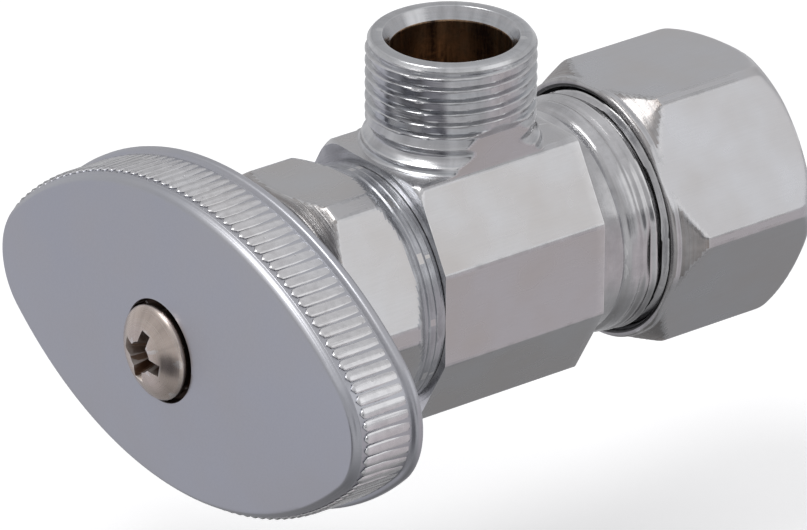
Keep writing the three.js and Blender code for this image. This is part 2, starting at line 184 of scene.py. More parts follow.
def mesh_from_rings(name, rings, closed):
    """One skin through rings of points. The last ring joins the first, or both ends close to a point."""
    around = len(rings[0])
    points = np.concatenate(rings)
    faces = []
    count = len(rings)
    for j in range(count if closed else count - 1):
        a, b = j * around, ((j + 1) % count) * around
        for i in range(around):
            k = (i + 1) % around
            faces.append((a + i, a + k, b + k, b + i))
    if not closed:
        points = np.concatenate([points, rings[0].mean(0)[None], rings[-1].mean(0)[None]])
        first, last = len(points) - 2, len(points) - 1
        end = (count - 1) * around
        for i in range(around):
            k = (i + 1) % around
            faces.append((first, k, i))
            faces.append((last, end + i, end + k))
    mesh = bpy.data.meshes.new(name)
    mesh.from_pydata(points.tolist(), [], faces)
    work = bmesh.new()
    work.from_mesh(mesh)
    bmesh.ops.remove_doubles(work, verts=work.verts, dist=0.0005)
    bmesh.ops.dissolve_degenerate(work, dist=0.0004, edges=work.edges)
    bmesh.ops.recalc_face_normals(work, faces=work.faces)
    if work.calc_volume(signed=True) < 0:
        bmesh.ops.reverse_faces(work, faces=work.faces)
    work.to_mesh(mesh)
    work.free()
    return mesh


def turned_x(name, path, angles, faces=(), edge=0.25, closed=True, cut=None):
    """A shape turned about the X axis from (x, radius) points, no larger outside than the bar's section."""
    section = section_radius(angles, faces, CORNER_BLEND) if faces else np.full_like(angles, FAR)
    rings = []
    for x, out in path:
        radius = smooth_min(section, np.full_like(angles, out), edge) if faces else np.full_like(angles, out)
        if cut:
            radius = cut(x, radius, angles)
        rings.append(np.stack([np.full_like(angles, x), radius * np.cos(angles), radius * np.sin(angles)], 1))
    return mesh_from_rings(name, rings, closed)


def turned_z(name, path, angles, cut=None):
    """A shape turned about the Z axis from (z, radius) points, closed to a point at both ends."""
    rings = []
    for z, out in path:
        radius = np.full_like(angles, max(out, 0.001))
        if cut:
            radius = cut(z, radius, angles)
        rings.append(np.stack([radius * np.cos(angles), radius * np.sin(angles), np.full_like(angles, z)], 1))
    return mesh_from_rings(name, rings, False)


def thread_depth(along, angles, pitch, depth, flank_share=0.62):
    """How far a right-hand thread is cut in, with a narrow round crest and a wider root."""
    turn = (along / pitch - angles / (2 * math.pi)) % 1
    flank = np.clip((np.abs(turn - 0.5) * 2 - 0.10) / flank_share, 0, 1)
    return depth * (flank * flank * (3 - 2 * flank) * 0.4 + flank * 0.6)


def fade(value, start, end):
    """0 at start, 1 at end, smooth between."""
    t = min(max((value - start) / (end - start), 0), 1)
    return t * t * (3 - 2 * t)


# ---- mesh tools ----
def make_object(name, mesh):
    made = bpy.data.objects.new(name, mesh)
    bpy.context.scene.collection.objects.link(made)
    return made


def applied(made):
    """The object's mesh with its modifiers in it, as one plain mesh."""
    graph = bpy.context.evaluated_depsgraph_get()
    mesh = bpy.data.meshes.new_from_object(made.evaluated_get(graph))
    made.modifiers.clear()
    old = made.data
    made.data = mesh
    mesh.name = made.name
    if old.users == 0:
        bpy.data.meshes.remove(old)
    return made


def combined(made, other_mesh, operation):
    """Adds or cuts another closed mesh."""
    other = make_object("tool", other_mesh)
    modifier = made.modifiers.new("cut", "BOOLEAN")
    modifier.operation = operation
    modifier.solver = "EXACT"
    modifier.object = other
    applied(made)
    bpy.data.objects.remove(other)
    return made


def tidy_faces(made):
    """Merges specks left by cutting."""
    work = bmesh.new()
    work.from_mesh(made.data)
    bmesh.ops.remove_doubles(work, verts=work.verts, dist=0.002)
    bmesh.ops.dissolve_degenerate(work, dist=0.001, edges=work.edges)
    work.to_mesh(made.data)
    work.free()


def to_row(made, roll=0.0):
    """Turns the mesh about the inlet axis and moves it from the port cross to its place, in metres."""
    made.data.transform(Matrix.Translation(port_cross) @ Matrix.Rotation(roll, 4, "X") @ Matrix.Scale(MM, 4))


def smooth(made, degrees=32):
    """Smooth shading with flats kept flat and edges sharper than the angle kept sharp."""
    mesh = made.data
    mesh.polygons.foreach_set("use_smooth", [True] * len(mesh.polygons))
    mesh.set_sharp_from_angle(angle=math.radians(degrees))
    weighted = made.modifiers.new("flat_flats", "WEIGHTED_NORMAL")
    weighted.keep_sharp = True
    weighted.weight = 80
    applied(made)


def face_table(made):
    """Centres and normals of the faces, in millimetres from the port cross."""
    mesh = made.data
    count = len(mesh.polygons)
    centres, normals = np.zeros(count * 3), np.zeros(count * 3)
    mesh.polygons.foreach_get("center", centres)
    mesh.polygons.foreach_get("normal", normals)
    return centres.reshape(-1, 3), normals.reshape(-1, 3)


def as_mesh(work, name):
    """The finished mesh of a work mesh, which is freed."""
    mesh = bpy.data.meshes.new(name)
    work.to_mesh(mesh)
    work.free()
    return mesh


def block(name, low, high):
    work = bmesh.new()
    bmesh.ops.create_cube(work, size=1)
    size = Vector(high) - Vector(low)
    centre = (Vector(high) + Vector(low)) / 2
    place = Matrix.Translation(centre) @ Matrix.Diagonal((*size, 1))
    bmesh.ops.transform(work, verts=work.verts, matrix=place)
    return as_mesh(work, name)


# ---- valve body ----
BODY_FACES = hexagon_faces(BAR_ACROSS_FLATS, 0.47, skip=(0, 3))
BODY_FACES += [(0.0, BAR_HALF_WIDTH), (math.pi, BAR_HALF_WIDTH)]
BAR_CORNER_RADIUS = BAR_ACROSS_FLATS / math.sqrt(3)


def inlet_thread(x, radius, angles):
    """The 18-to-the-inch thread that the compression nut runs on."""
    if x < 12.6 or radius.max() < INLET_THREAD_RADIUS - 1.2:
        return radius
    depth = 0.5 * fade(x, 12.6, 15.2)
    return radius - thread_depth(x, angles, INLET_PITCH, depth)


def body_bar():
    """The bar with its packing neck, inlet neck and the bore that runs right through it."""
    neck = finely(rounded_path([
        (body_low.x, STEM_BORE_RADIUS), (body_low.x, NECK_RADIUS - 0.6), (body_low.x + 0.6, NECK_RADIUS),
        (BAR_FRONT_X, NECK_RADIUS, 0),
        (BAR_FRONT_X, BAR_CORNER_RADIUS - 0.55)]), 1.0)
    bar = [np.array(p) for p in [
        (BAR_FRONT_X + 0.02, BAR_CORNER_RADIUS - 0.5), (BAR_FRONT_X + 0.1, BAR_CORNER_RADIUS - 0.4),
        (BAR_FRONT_X + 0.25, BAR_CORNER_RADIUS - 0.22), (BAR_FRONT_X + 0.45, BAR_CORNER_RADIUS + 0.05),
        (BAR_FRONT_X + 0.6, BAR_CORNER_RADIUS + 0.5)]]
    bar += finely([np.array(p) for p in [(BAR_FRONT_X + 0.7, BAR_CORNER_RADIUS + 0.6),
                                         (BAR_BACK_X - 0.1, BAR_CORNER_RADIUS + 0.6),
                                         (BAR_BACK_X, BAR_CORNER_RADIUS + 0.5)]], 1.5)
    inlet = finely(rounded_path([
        (BAR_BACK_X, 9.99), (BAR_BACK_X + 0.35, 9.95, 0.2), (BAR_BACK_X + 1.2, 9.8, 0.8),
        (BAR_BACK_X + 2.3, 9.72, 0.1), (BAR_BACK_X + 2.42, 9.42, 0.04), (BAR_BACK_X + 2.56, 9.62, 0.1),
        (BAR_BACK_X + 2.9, 9.9, 0.2), (12.3, 10.12, 0.4), (12.75, 9.98, 0.3),
        (13.3, INLET_THREAD_RADIUS, 0.4),
        (21.3, INLET_THREAD_RADIUS, 0), (22.0, 9.62, 0.05), (22.0, 9.2)]), 0.15)
    bore = finely(rounded_path([
        (22.0, 9.1), (21.0, PIPE_SOCKET_RADIUS, 0.05), (PIPE_STOP_X, PIPE_SOCKET_RADIUS, 0.1),
        (PIPE_STOP_X, 5.8, 0.1), (6.4, 5.8, 0.2), (5.6, 2.9, 0.1), (3.4, 2.9, 0.1), (3.4, 3.9, 0.1),
        (4.2, 3.9, 0.1), (4.2, CHAMBER_RADIUS, 0.2), (-4.2, CHAMBER_RADIUS, 0.05),
        (-4.2, STEM_BORE_RADIUS, 0.05), (body_low.x + 0.1, STEM_BORE_RADIUS)]), 1.0)
    path = neck + bar + inlet + bore
    angles = angles_for(BODY_FACES, 160)
    return turned_x("bar", path, angles, BODY_FACES, edge=0.2, cut=inlet_thread)


def outlet_cut(z, radius, angles):
    """Thread and flat sides, cut into the outlet."""
    if radius.max() > 5.75:
        on_thread = fade(z, 12.7, 13.9) * (1 - fade(z, OUTLET_RIM_Z - 0.75, OUTLET_RIM_Z - 0.35))
        radius = radius - thread_depth(z, angles, OUTLET_PITCH, 0.38 * on_thread, 0.36)
        lean = np.interp(z, [10.7, 13.6, 14.8, 15.4], [6.15, 6.42, 6.9, 7.6])
        side = lean / np.maximum(np.abs(np.sin(angles)), 0.05)
        radius = smooth_min(radius, side, 0.08)
    return radius


def outlet_boss():
    """The threaded outlet with its fillet foot, run-out groove, cone mouth and blind socket."""
    top = BAR_ACROSS_FLATS / 2
    foot = [(top - 1.2, 0.001), (top - 1.2, 7.85)]
    foot += [(top - 0.03 + 0.5 * (1 - math.cos(t)), 7.9 - 0.48 * math.sin(t))
             for t in np.linspace(0, math.pi / 2, 8)]
    groove = [(top + 0.5, 7.42), (top + 0.62, 7.40), (top + 0.72, 7.28)]
    groove += [(top + 0.75 + 1.35 * s, 7.2 - 0.42 * math.sin(math.pi * s) - 0.1 * s)
               for s in np.linspace(0, 1, 12)]
    thread = [(z, OUTLET_THREAD_RADIUS) for z in np.arange(top + 2.2, OUTLET_RIM_Z - 0.62, 0.075)]
    rim = rounded_path([
        (OUTLET_RIM_Z - 0.6, OUTLET_THREAD_RADIUS), (OUTLET_RIM_Z - 0.05, 6.72, 0.12),
        (OUTLET_RIM_Z, 6.3, 0.2), (OUTLET_RIM_Z, 5.72, 0.08), (OUTLET_RIM_Z - 1.1, OUTLET_SOCKET_RADIUS, 0.1),
        (12.5, OUTLET_SOCKET_RADIUS, 0.15), (12.3, 4.6, 0.1), (11.4, WATERWAY_RADIUS, 0.1), (11.4, 0.001)])
    path = [np.array(p, float) for p in foot + groove + thread] + finely(rim, 0.5)
    angles = np.linspace(0, 2 * math.pi, 208, endpoint=False)
    return turned_z("boss", path, angles, cut=outlet_cut)


def make_body():
    body = make_object("valve_body_finished", outlet_boss())
    combined(body, body_bar(), "UNION")
    waterway = rounded_path([
        (0.0, 0.001), (0.0, WATERWAY_RADIUS, 0), (11.9, WATERWAY_RADIUS, 0), (11.9, 0.001)])
    angles = np.linspace(0, 2 * math.pi, 64, endpoint=False)
    combined(body, turned_z("waterway", waterway, angles), "DIFFERENCE")
    tidy_faces(body)
    smooth(body)
    return body


# ---- nuts ----
def make_packing_nut():
    """Hexagonal nut whose corners are bevelled off wide, with a stepped collar next to the body."""
    faces = hexagon_faces(PACKING_NUT_ACROSS_FLATS, 1.5)
    corner = PACKING_NUT_ACROSS_FLATS / math.sqrt(3)
    front, back_end = packing_low.x, BAR_FRONT_X - 0.04
    path = rounded_path([
        (front, 4.25, 0.15), (front, 8.55, 0.25), (front + 3.05, corner - 0.05, 0),
        (front + 3.1, corner + 0.4, 0), (-12.5, corner + 0.4, 0), (-12.3, corner - 0.05, 0),
        (-10.7, 10.5, 0.2), (-10.3, 10.42, 0.06), (-10.22, 10.28, 0.04), (-10.1, 10.4, 0.06),
        (-9.5, 10.4, 0.06),
        (-9.42, 10.26, 0.04), (-9.34, 10.38, 0.05), (-8.75, 10.36, 0.08), (-8.62, 10.1, 0.06),
        (back_end, 10.05, 0.05), (back_end, PACKING_THREAD_BORE, 0), (-14.6, PACKING_THREAD_BORE, 0),
        (-14.6, 7.0, 0), (front + 1.5, 7.0, 0), (front + 1.5, 4.25, 0)], closed=True)
    path = finely(path, 0.32, closed=True)
    nut = make_object("packing_nut_finished", turned_x("nut", path, angles_for(faces, 220), faces, edge=0.22))
    smooth(nut)
    return nut


def make_compression_nut():
    """Hexagonal nut with a coned front end, a round lip round the thread and a strongly domed outer end."""
    faces = hexagon_faces(NUT_ACROSS_FLATS, 0.83)
    corner = NUT_ACROSS_FLATS / math.sqrt(3)
    front, end = nut_low.x, nut_high.x
    dome_from = 26.3
    dome = [(dome_from + (end - dome_from) * math.sin(t), 9.5 + (corner + 0.15 - 9.5) * math.cos(t) ** 0.9)
            for t in np.linspace(0, math.pi / 2 - 0.05, 22)]
    path = [np.array(p) for p in rounded_path([
        (front + 0.7, NUT_THREAD_BORE, 0.1), (front + 0.1, 10.6, 0.15), (front, 10.85, 0.2),
        (front + 0.05, 11.2, 0.2),
        (front + 0.4, 11.38, 0.25), (front + 0.8, 11.32, 0.15), (17.75, corner - 0.1, 0.1),
        (18.0, corner + 0.15, 0)])]
    path += [np.array(p) for p in dome]
    path += rounded_path([
        (end - 0.02, 9.45), (end, 9.2, 0.1), (end, 8.2, 0.15), (27.6, 8.2, 0.1), (26.5, 9.3, 0),
        (22.7, 9.3, 0), (22.7, NUT_THREAD_BORE, 0), (front + 0.72, NUT_THREAD_BORE, 0)])
    path = finely(path, 0.35, closed=True)
    nut = make_object("compression_nut_finished", turned_x("nut", path, angles_for(faces, 240), faces))
    smooth(nut)
    return nut


# ---- handle ----
def oval_radius(angles, inset):
    """Distance from the middle to the handle's outline, drawn with four arcs, moved in by inset."""
    length, height, end = HANDLE_LENGTH - inset, HANDLE_HEIGHT - inset, HANDLE_END_RADIUS - inset
    centre = length - end
    side = (centre ** 2 + height ** 2 - end ** 2) / (2 * (height - end))
    drop = side - height
    join = math.atan2(centre, drop)
    a = np.concatenate([np.linspace(0, join, 400), np.linspace(join, math.pi / 2, 400)[1:]])
    on_side = np.arange(len(a)) < 400
    y = np.where(on_side, side * np.sin(a), centre + end * np.sin(a))
    z = np.where(on_side, side * np.cos(a) - drop, end * np.cos(a))
    polar, reach = np.arctan2(z, y)[::-1], np.hypot(y, z)[::-1]
    folded = np.abs((angles + math.pi / 2) % math.pi - math.pi / 2)
    return np.interp(folded, polar, reach)


def square_radius(angles, half, corner):
    turned = np.maximum(np.abs(np.cos(angles)), np.abs(np.sin(angles)))
    return smooth_min(half / turned, np.full_like(angles, half * math.sqrt(2) - corner), 0.2)


def handle_angles():
    """Close together at the two ends, where the outline turns fastest."""
    even = np.linspace(0, 2 * math.pi, 560, endpoint=False)
    return even - 0.30 * np.sin(2 * even)


def make_handle():
    """One skin: crowned face, screw recess, bevel, wall, rear lip, hollow back, hub and square socket."""
    angles = handle_angles()
    crown, rear = handle_low.x, HANDLE_REAR_X
    edge_inset, edge_drop = 0.95, 1.55
    edge = oval_radius(angles, edge_inset)

    def face(share):
        out = 4.6 + (edge - 4.6) * share
        return crown + edge_drop * (out / edge) ** 2, out

    recess_lip = crown + edge_drop * (4.7 / edge.mean()) ** 2
    rings = [(x, np.full_like(angles, r)) for x, r in rounded_path([
        (-26.0, 2.2), (crown + 1.15, 2.2, 0.1), (crown + 1.15, 4.36, 0.1), (recess_lip + 0.2, 4.38, 0.1),
        (recess_lip + 0.04, 4.46, 0.1)])]
    rings += [face(s) for s in (0, 0.02, 0.06, 0.15, 0.3, 0.45, 0.6, 0.72, 0.82, 0.9, 0.95, 0.98, 1.0)]
    rim = crown + edge_drop
    for x, inset in [(rim + 0.10, 0.78), (rim + 0.26, 0.64), (rim + 0.42, 0.60), (rim + 0.56, 0.52),
                     (rim + 0.66, 0.40), (-27.9, 0.36), (-27.0, 0.32), (-26.0, 0.27), (-25.0, 0.21),
                     (-24.0, 0.14), (-23.22, 0.10),
                     (-23.14, 0.02), (-23.08, -0.14), (-23.0, -0.27), (-22.9, -0.35), (-22.75, -0.39),
                     (rear - 0.35, -0.40), (rear - 0.2, -0.36), (rear - 0.08, -0.26), (rear - 0.01, -0.1),
                     (rear, 0.1), (rear, 1.4), (rear - 0.06, 1.62), (rear - 0.2, 1.74), (rear - 0.5, 1.8),
                     (-24.5, 1.9), (-25.6, 2.0), (-26.1, 2.15), (-26.4, 2.5), (-26.55, 3.0)]:
        rings.append((x, oval_radius(angles, inset)))
    inner = oval_radius(angles, 3.0)
    for share in (0.8, 0.6, 0.4, 0.2, 0.08):
        rings.append((-26.55 - 0.8 * (1 - share), 5.9 + (inner - 5.9) * share))
    rings += [(x, np.full_like(angles, r)) for x, r in rounded_path([
        (-27.35, 5.9), (-27.3, 5.45, 0.3), (-20.6, 5.4, 0.15), (-20.6, 4.3)])]
    rings += [(x, square_radius(angles, SOCKET_HALF_WIDTH, 0.25)) for x in (-20.6, -20.5, -24.0, -26.75)]
    rings += [(-26.85, square_radius(angles, SOCKET_HALF_WIDTH - 0.05, 0.25)),
              (-26.85, np.full_like(angles, 2.25))]
    points = [np.stack([np.broadcast_to(x, angles.shape), r * np.cos(angles), r * np.sin(angles)], 1)
              for x, r in rings]
    handle = make_object("handle_finished", mesh_from_rings("handle", points, True))
    for side in (-1, 1):
        ends = sorted((side * 5.0, side * (HANDLE_LENGTH - 1.0)))
        rib = make_object("rib", block("rib", (-27.4, ends[0], -0.8), (-24.0, ends[1], 0.8)))
        bevel = rib.modifiers.new("round", "BEVEL")
        bevel.width, bevel.segments = 0.3, 3
        applied(rib)
        work = bmesh.new()
        work.from_mesh(handle.data)
        work.from_mesh(rib.data)
        work.to_mesh(handle.data)
        work.free()
        bpy.data.objects.remove(rib)
    smooth(handle)
    return handle


# ---- grip ribs, laid round the handle's rim ----
def grip_rib_tree():
    """Geometry nodes: one round-ended rib at each step along the outline, lying along the inlet axis."""
    tree = bpy.data.node_groups.new("grip_ribs", "GeometryNodeTree")
    inputs = {}
    tree.interface.new_socket("Outline", in_out="INPUT", socket_type="NodeSocketGeometry")
    for label, kind, value in [
            ("Rib Count", "NodeSocketInt", GRIP_RIBS), ("Rib Length", "NodeSocketFloat", RIB_LENGTH),
            ("Rib Width", "NodeSocketFloat", RIB_WIDTH), ("Rib Height", "NodeSocketFloat", RIB_HEIGHT),
            ("Finish", "NodeSocketMaterial", None)]:
        socket = tree.interface.new_socket(label, in_out="INPUT", socket_type=kind)
        if value is not None:
            socket.default_value = value
        inputs[label] = socket.identifier
    tree.interface.new_socket("Ribs", in_out="OUTPUT", socket_type="NodeSocketGeometry")
    given = tree.nodes.new("NodeGroupInput").outputs
    leave = tree.nodes.new("NodeGroupOutput").inputs

    def step(kind, **links):
        return add(tree, kind, {key.replace("_", " "): value for key, value in links.items()}).outputs

    half = calc(tree, "MULTIPLY", given["Rib Length"], 0.5)
    start = step("ShaderNodeCombineXYZ", X=calc(tree, "MULTIPLY", half, -1.0))
    end = step("ShaderNodeCombineXYZ", X=half)
    line = step("GeometryNodeCurvePrimitiveLine", Start=start[0], End=end[0])
    spine = step("GeometryNodeResampleCurve", Curve=line[0], Count=17)
    along = step("GeometryNodeSplineParameter")["Factor"]
    from_middle = calc(tree, "ABSOLUTE", calc(tree, "SUBTRACT", along, 0.5))
    thinning = calc(tree, "POWER", calc(tree, "MULTIPLY", from_middle, 2.0), 14.0)
    thickness = calc(tree, "SQRT", calc(tree, "MAXIMUM", calc(tree, "SUBTRACT", 1.0, thinning), 0.02))
    shaped = step("GeometryNodeSetCurveRadius", Curve=spine[0], Radius=thickness)
    ring = step("GeometryNodeCurvePrimitiveCircle", Resolution=8, Radius=0.5)
    rib = add(tree, "GeometryNodeCurveToMesh",
              {"Curve": shaped[0], "Profile Curve": ring[0], "Fill Caps": True})
    if "Scale" in rib.inputs:
        tree.links.new(thickness, rib.inputs["Scale"])
    size = step("ShaderNodeCombineXYZ", X=1.0, Y=given["Rib Width"], Z=given["Rib Height"])
    sized = step("GeometryNodeTransform", Geometry=rib.outputs[0], Scale=size[0])

    outline = step("GeometryNodeMeshToCurve", Mesh=given["Outline"])
    places = step("GeometryNodeResampleCurve", Curve=outline[0], Count=given["Rib Count"])
    tangent = step("ShaderNodeSeparateXYZ", Vector=step("GeometryNodeInputTangent")[0])
    lean = calc(tree, "ARCTAN2", calc(tree, "MULTIPLY", tangent["Z"], -1.0),
                calc(tree, "MULTIPLY", tangent["Y"], -1.0))
    turn = step("ShaderNodeCombineXYZ", X=lean)
    laid = step("GeometryNodeInstanceOnPoints", Points=places[0], Instance=sized[0], Rotation=turn[0])
    real = step("GeometryNodeRealizeInstances", Geometry=laid[0])
    finished = step("GeometryNodeSetMaterial", Geometry=real[0], Material=given["Finish"])
    tree.links.new(finished[0], leave[0])
    return tree, inputs


def make_grip_ribs(finish):
    angles = np.linspace(0, 2 * math.pi, 720, endpoint=False)
    radius = oval_radius(angles, RIB_INSET)
    ring = [(RIB_MIDDLE_X, r * math.cos(a), r * math.sin(a)) for a, r in zip(angles, radius)]
    mesh = bpy.data.meshes.new("outline")
    mesh.from_pydata(ring, [(i, (i + 1) % len(ring)) for i in range(len(ring))], [])
    ribs = make_object("handle_grip_ribs", mesh)
    tree, inputs = grip_rib_tree()
    modifier = ribs.modifiers.new("ribs", "NODES")
    modifier.node_group = tree
    modifier[inputs["Rib Count"]] = GRIP_RIBS
    modifier[inputs["Finish"]] = finish
    applied(ribs)
    paint(ribs, finish, [])
    smooth(ribs, 50)
    return ribs


# ---- handle screw ----
def cross_arm(quarter_turn, crown, floor):
    """One arm of the cross recess, from side to side and narrower at the bottom."""
    work = bmesh.new()
    for vertex in bmesh.ops.create_cube(work, size=1)["verts"]:
        deep = vertex.co.x > 0
        length, width = (1.25, 0.36) if deep else (2.75, 0.60)
        vertex.co = (floor if deep else crown - 0.4, math.copysign(length, vertex.co.y),
                     math.copysign(width, vertex.co.z))
    turn = Matrix.Rotation(CROSS_TURN + quarter_turn * math.pi / 2, 3, "X")
    bmesh.ops.rotate(work, verts=work.verts, cent=(0, 0, 0), matrix=turn)
    return as_mesh(work, "arm")


def make_handle_screw():
    """Low-domed head with a cross recess on a plain shank."""
    crown, seat = screw_low.x, handle_low.x + 0.85
    rim = crown + 1.5
    dome = [(crown + 1.42 * s ** 2.3, 4.0 * s) for s in np.linspace(0.0, 0.96, 18)]
    path = [np.array((x, max(r, 0.001))) for x, r in dome]
    path += rounded_path([
        (rim - 0.12, 3.94), (rim + 0.05, 4.06, 0.12), (rim + 0.4, 4.04, 0.1), (seat, 3.9, 0.15),
        (seat, SCREW_SHANK_RADIUS, 0.1), (screw_high.x, SCREW_SHANK_RADIUS, 0.3), (screw_high.x, 0.001)])
    angles = np.linspace(0, 2 * math.pi, 128, endpoint=False)
    screw = make_object("handle_screw_finished", turned_x("screw", finely(path, 0.4), angles, closed=False))
    floor = crown + 2.3
    hub = [(crown - 0.4, 0.001), (crown - 0.4, 1.45), (crown + 0.7, 1.2), (floor, 0.75), (floor + 0.4, 0.001)]
    angles = np.linspace(0, 2 * math.pi, 20, endpoint=False)
    combined(screw, turned_x("hub", [np.array(p) for p in hub], angles, closed=False), "DIFFERENCE")
    for quarter_turn in (0, 1):
        combined(screw, cross_arm(quarter_turn, crown, floor), "DIFFERENCE")
    bevel = screw.modifiers.new("soft_edges", "BEVEL")
    bevel.width, bevel.segments, bevel.limit_method = 0.07, 2, "ANGLE"
    bevel.angle_limit = math.radians(38)
    applied(screw)
    smooth(screw)
    return screw


# ---- materials ----
def link_or_set(tree, value, socket):
    if isinstance(value, bpy.types.NodeSocket):
        tree.links.new(value, socket)
    elif value is not None:
        socket.default_value = value


def add(tree, kind, links=(), **settings):
    """Adds a node; links is a list by position or a dict by name, of sockets or plain values."""
    node = tree.nodes.new(kind)
    for key, value in settings.items():
        setattr(node, key, value)
    pairs = links.items() if isinstance(links, dict) else enumerate(links)
    for key, value in pairs:
        link_or_set(tree, value, node.inputs[key])
    return node


def calc(tree, operation, *values):
    return add(tree, "ShaderNodeMath", values, operation=operation).outputs[0]


def mix_colour(tree, share, a, b):
    node = tree.nodes.new("ShaderNodeMix")
    node.data_type = "RGBA"
    for index, value in ((0, share), (6, a), (7, b)):
        link_or_set(tree, value, node.inputs[index])
    return node.outputs[2]


def spread(tree, value, low, high, to_low=0.0, to_high=1.0):
    return add(tree, "ShaderNodeMapRange", [value, low, high, to_low, to_high]).outputs[0]


def noise(tree, vector, scale, detail=3.0, roughness=0.55):
    links = {"Vector": vector, "Scale": scale, "Detail": detail, "Roughness": roughness}
    return add(tree, "ShaderNodeTexNoise", links).outputs[0]


def new_group(name, inputs, outputs):
    """A shader group with float inputs (name: value) and the named outputs."""
    tree = bpy.data.node_groups.new(name, "ShaderNodeTree")
    tree.interface.new_socket("Place", in_out="INPUT", socket_type="NodeSocketVector")
    for label, value in inputs.items():
        tree.interface.new_socket(label, in_out="INPUT", socket_type="NodeSocketFloat").default_value = value
    for label in outputs:
        tree.interface.new_socket(label, in_out="OUTPUT", socket_type="NodeSocketFloat")
    enter, leave = tree.nodes.new("NodeGroupInput"), tree.nodes.new("NodeGroupOutput")
    return tree, enter.outputs, leave.inputs


def turning_marks_group():
    """Rings left by a lathe tool round the local X axis, and painted reflection streaks that run along it;
    Place is in millimetres.
    """
    tree, given, out = new_group("turning_marks_and_reflection_streaks", {"Fineness": 6.0, "Streaks": 1.0}, ["Height", "Painted_Reflection"])
    parts = add(tree, "ShaderNodeSeparateXYZ", [given["Place"]]).outputs
    radius = calc(tree, "SQRT", calc(tree, "ADD", calc(tree, "MULTIPLY", parts[1], parts[1]),
                                     calc(tree, "MULTIPLY", parts[2], parts[2])))
    angle = calc(tree, "ARCTAN2", parts[2], parts[1])
    along = calc(tree, "MULTIPLY", parts[0], given["Fineness"])
    out_from = calc(tree, "MULTIPLY", radius, given["Fineness"])
    wander = calc(tree, "MULTIPLY", calc(tree, "ABSOLUTE", angle), 0.25)
    rings = add(tree, "ShaderNodeCombineXYZ", [along, out_from, wander]).outputs[0]
    fine = noise(tree, rings, 1.0, 4.0, 0.7)
    coarse = noise(tree, rings, 0.22, 2.0, 0.5)
    height = calc(tree, "ADD", calc(tree, "MULTIPLY", fine, 0.7), calc(tree, "MULTIPLY", coarse, 0.6))
    tree.links.new(height, out["Height"])
    # painted reflection: dark streaks along the axis, changing with the angle round it, stand in for
    # reflected dark surroundings
    painted_reflection_at = add(tree, "ShaderNodeCombineXYZ",
                    [calc(tree, "MULTIPLY", along, 0.05),
                     calc(tree, "MULTIPLY", calc(tree, "COSINE", angle), 3.0),
                     calc(tree, "MULTIPLY", calc(tree, "SINE", angle), 3.0)]).outputs[0]
    painted_reflection_mask = spread(tree, noise(tree, painted_reflection_at, 1.6, 3.0, 0.6), 0.42, 0.68)
    tree.links.new(calc(tree, "MULTIPLY", painted_reflection_mask, given["Streaks"]), out["Painted_Reflection"])
    return tree


def brushing_group():
    """Fine straight lines along the local X axis, as on drawn bar; Place is in millimetres."""
    tree, given, out = new_group("drawn_brushing", {"Fineness": 9.0}, ["Height", "Patch"])
    stretched = add(tree, "ShaderNodeMapping",
                    {"Vector": given["Place"], "Scale": (0.035, 1.0, 1.0)}).outputs[0]
    links = {"Vector": stretched, "Scale": given["Fineness"], "Detail": 4.0, "Roughness": 0.65}
    tree.links.new(add(tree, "ShaderNodeTexNoise", links).outputs[0], out["Height"])
    patch = spread(tree, noise(tree, given["Place"], 0.16, 3.0, 0.5), 0.35, 0.7)
    tree.links.new(patch, out["Patch"])
    return tree


def wear_and_highlight_group():
    """Convex edges brightened in colour as a painted highlight for polished edges, and a scatter of small
    pits and scratches; Place is in millimetres.
    """
    tree, given, out = new_group("edge_highlight_and_wear", {"Reach": 0.03, "Pits": 1.0}, ["Edge", "Pit", "Scratch"])
    pointed = add(tree, "ShaderNodeNewGeometry").outputs["Pointiness"]
    high = calc(tree, "ADD", 0.51, given["Reach"])
    # painted highlight: convex edges, found by pointiness, are marked for brightening
    edge = add(tree, "ShaderNodeMapRange", [pointed, 0.51, high, 0.0, 1.0]).outputs[0]
    broken = spread(tree, noise(tree, given["Place"], 1.4, 3.0), 0.3, 0.6, 0.45, 1.0)
    tree.links.new(calc(tree, "MULTIPLY", edge, broken), out["Edge"])
    cells = add(tree, "ShaderNodeTexVoronoi", {"Vector": given["Place"], "Scale": 0.9}).outputs["Distance"]
    pit = calc(tree, "MULTIPLY", spread(tree, cells, 0.05, 0.09, 1.0, 0.0), given["Pits"])
    tree.links.new(pit, out["Pit"])
    across = add(tree, "ShaderNodeMapping", {"Vector": given["Place"], "Rotation": (0.5, 0.9, 0.3),
                                             "Scale": (0.2, 9.0, 9.0)}).outputs[0]
    scratch = spread(tree, noise(tree, across, 1.2, 1.0, 0.3), 0.72, 0.78)
    tree.links.new(scratch, out["Scratch"])
    return tree


GROUPS = {"turning": turning_marks_group(), "brushing": brushing_group(), "wear_and_highlight": wear_and_highlight_group()}


def use_group(tree, key, place, **values):
    node = tree.nodes.new("ShaderNodeGroup")
    node.node_tree = GROUPS[key]
    tree.links.new(place, node.inputs["Place"])
    for label, value in values.items():
        node.inputs[label].default_value = value
    return node.outputs


def place_in_mm(tree, turn=(0.0, 0.0, 0.0)):
    """Object coordinates in millimetres from the port cross; turn lays another axis along X."""
    local = add(tree, "ShaderNodeTexCoord").outputs["Object"]
    moved = add(tree, "ShaderNodeMapping", {"Vector": local, "Location": tuple(-port_cross / MM),
                                            "Scale": (1 / MM,) * 3}).outputs[0]
    if turn == (0.0, 0.0, 0.0):
        return moved
    return add(tree, "ShaderNodeMapping", {"Vector": moved, "Rotation": turn}).outputs[0]


def new_material(name, metallic, roughness):
    material = bpy.data.materials.new(name)
    material.use_nodes = True
    tree = material.node_tree
    shader = tree.nodes["Principled BSDF"]
    shader.inputs["Metallic"].default_value = metallic
    shader.inputs["Roughness"].default_value = roughness
    return material, tree, shader


